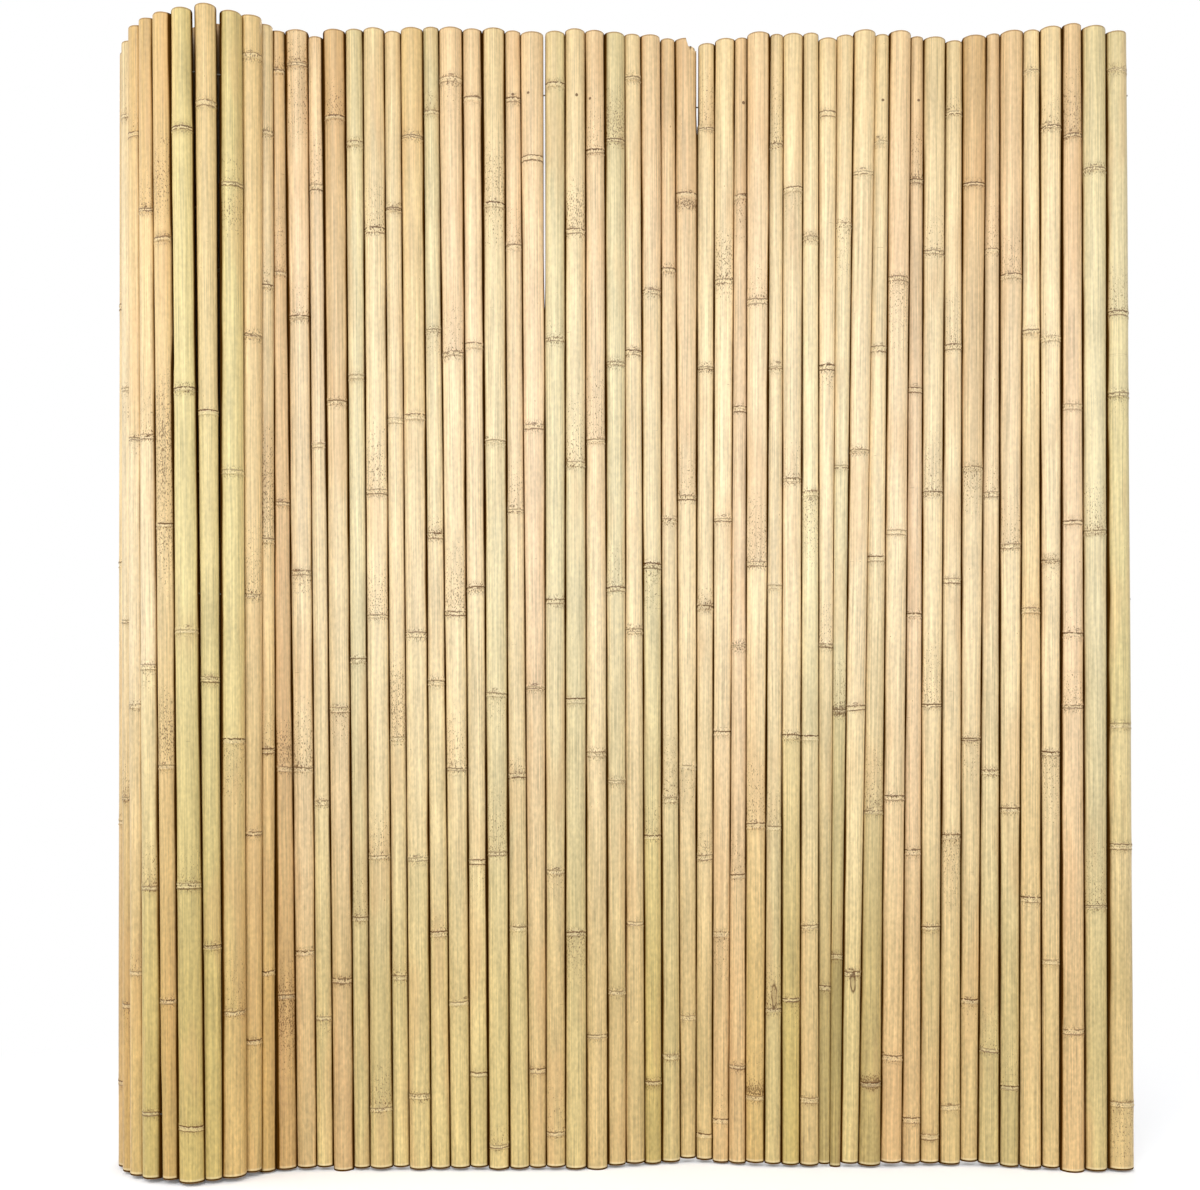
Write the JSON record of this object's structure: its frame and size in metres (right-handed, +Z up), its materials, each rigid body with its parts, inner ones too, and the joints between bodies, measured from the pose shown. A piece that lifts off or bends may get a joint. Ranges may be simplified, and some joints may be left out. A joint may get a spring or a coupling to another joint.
{
  "type": "bamboo fence panel",
  "caption": "Rolled bamboo fence panel: whole canes side by side on galvanised wires, standing partly unrolled with one end still in a roll.",
  "frame": {"origin": "on the ground, under the middle of the panel's box", "axes": "+Z up along the canes, +X along the panel towards its free end, +Y away from the front"},
  "size_m": [1.6453, 0.3052, 1.8292],
  "materials": {
    "bamboo_straw": "dry peeled cane, satin",
    "bamboo_green": "dry peeled cane, satin",
    "bamboo_honey": "dry peeled cane, satin",
    "bamboo_tan": "dry peeled cane, satin",
    "bamboo_rose": "dry peeled cane, satin",
    "galvanised_wire": "dull zinc"
  },
  "bodies": {
    "root": {"cane_01": "bamboo_honey", "cane_02": "bamboo_honey", "cane_03": "bamboo_honey", "cane_04": "bamboo_honey", "cane_05": "bamboo_green", "cane_06": "bamboo_tan", "cane_07": "bamboo_green", "cane_08": "bamboo_honey", "cane_09": "bamboo_tan", "cane_10": "bamboo_tan", "cane_11": "bamboo_honey", "cane_12": "bamboo_straw", "cane_13": "bamboo_honey", "cane_14": "bamboo_green", "cane_15": "bamboo_honey", "cane_16": "bamboo_tan", "cane_17": "bamboo_straw", "cane_18": "bamboo_green", "cane_19": "bamboo_straw", "cane_20": "bamboo_honey", "cane_21": "bamboo_green", "cane_22": "bamboo_rose", "cane_23": "bamboo_rose", "cane_24": "bamboo_green", "cane_25": "bamboo_rose", "cane_26": "bamboo_rose", "cane_27": "bamboo_green", "cane_28": "bamboo_straw", "cane_29": "bamboo_honey", "cane_30": "bamboo_tan", "cane_31": "bamboo_tan", "cane_32": "bamboo_tan", "cane_33": "bamboo_straw", "cane_34": "bamboo_honey", "cane_35": "bamboo_green", "cane_36": "bamboo_honey", "cane_37": "bamboo_tan", "cane_38": "bamboo_straw", "cane_39": "bamboo_honey", "cane_40": "bamboo_tan", "cane_41": "bamboo_straw", "cane_42": "bamboo_tan", "cane_43": "bamboo_straw", "cane_44": "bamboo_green", "cane_45": "bamboo_honey", "cane_46": "bamboo_straw", "cane_47": "bamboo_tan", "cane_48": "bamboo_honey", "cane_49": "bamboo_straw", "cane_50": "bamboo_straw", "cane_51": "bamboo_straw", "cane_52": "bamboo_rose", "cane_53": "bamboo_green", "cane_54": "bamboo_green", "roll_inner_canes": "bamboo_tan", "roll_back_canes": "bamboo_tan", "wire_bottom": "galvanised_wire", "wire_middle": "galvanised_wire", "wire_top": "galvanised_wire"}
  },
  "joints": []
}
